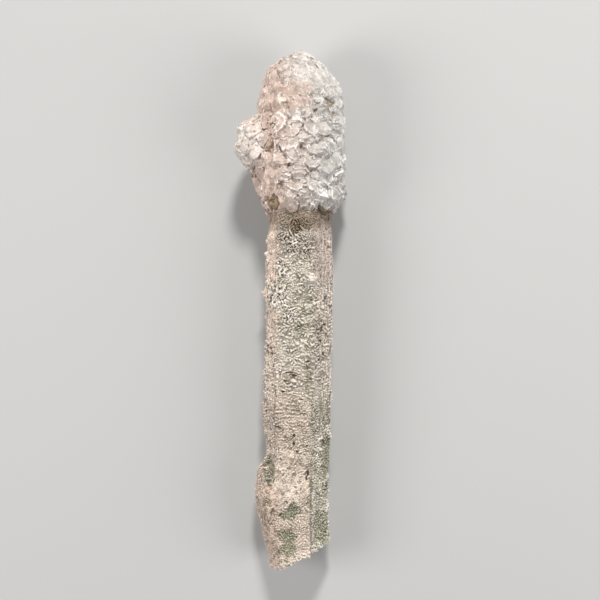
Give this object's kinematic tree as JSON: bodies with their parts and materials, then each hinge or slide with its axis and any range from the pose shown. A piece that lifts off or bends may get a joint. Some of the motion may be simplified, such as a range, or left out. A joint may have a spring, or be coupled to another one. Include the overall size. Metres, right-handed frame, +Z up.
{
  "type": "quartz floater",
  "caption": "Doubly grown quartz crystal specimen: a six-sided prism in a sugary crust, one end capped with overlapping crystal scales, the other broken off.",
  "frame": {"origin": "middle of the box that holds the crystal, on the surface that it lies on", "axes": "+Y along the crystal towards its capped end, +X to the right of its front, +Z up out of the surface that it lies on"},
  "size_m": [0.0324, 0.1546, 0.0246],
  "materials": {
    "crusted_quartz": "sugary, satin, with glassy scale rims and green-grey patches where the crust is thin"
  },
  "bodies": {
    "root": {"quartz_floater": "crusted_quartz"}
  },
  "joints": []
}
